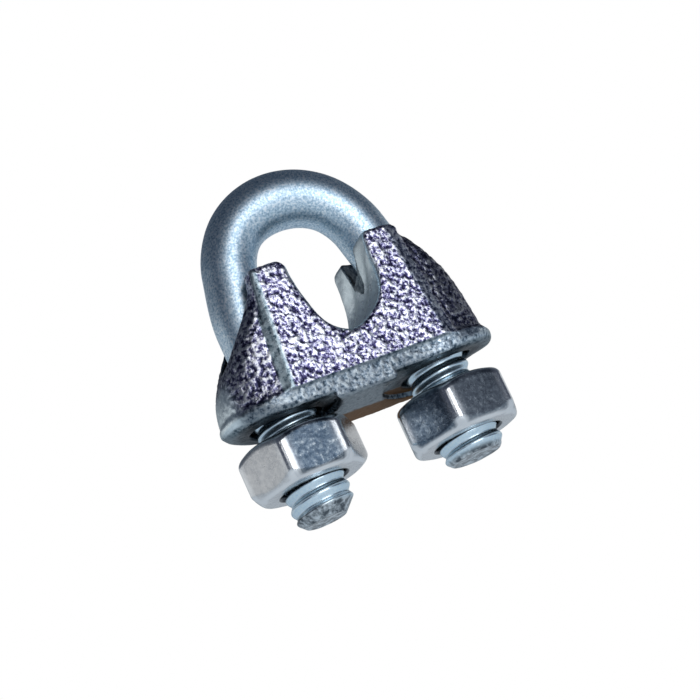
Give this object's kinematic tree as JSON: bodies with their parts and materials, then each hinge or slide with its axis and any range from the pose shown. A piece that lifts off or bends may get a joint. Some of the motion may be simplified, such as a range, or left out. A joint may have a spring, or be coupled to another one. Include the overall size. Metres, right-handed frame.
{
  "type": "wire rope clip",
  "caption": "U-bolt wire rope clip: a cast saddle with a rope groove, a threaded U-bolt through it and hex nuts that draw the two together.",
  "frame": {"origin": "on the axis of the rope that lies in the saddle's groove, midway between the legs and midway along the groove", "axes": "+X from the left leg to the right leg, +Y along the rope towards the back face, +Z from the nuts towards the U-bolt's bow"},
  "size_m": [0.0266, 0.011, 0.032],
  "materials": {
    "cast_zinc": "bright zinc plate over a coarse cast skin",
    "rod_zinc": "satin bright zinc plate",
    "nut_zinc": "bright zinc plate"
  },
  "bodies": {
    "saddle": {"saddle": "cast_zinc"},
    "u_bolt": {"u_bolt": "rod_zinc"},
    "left_nut": {"left_nut": "nut_zinc"},
    "right_nut": {"right_nut": "nut_zinc"}
  },
  "joints": [
    {"name": "u_bolt_slide", "type": "slide", "parent": "saddle", "child": "u_bolt", "axis": [0, 0, 1], "range_m": [-0.0025, 0.0005]},
    {"name": "left_nut_turn", "type": "hinge", "parent": "u_bolt", "child": "left_nut", "pos_m": [-0.00755, 0, -0.0125], "axis": [0, 0, 1], "continuous": true},
    {"name": "right_nut_turn", "type": "hinge", "parent": "u_bolt", "child": "right_nut", "pos_m": [0.00755, 0, -0.0133], "axis": [0, 0, 1], "continuous": true}
  ]
}
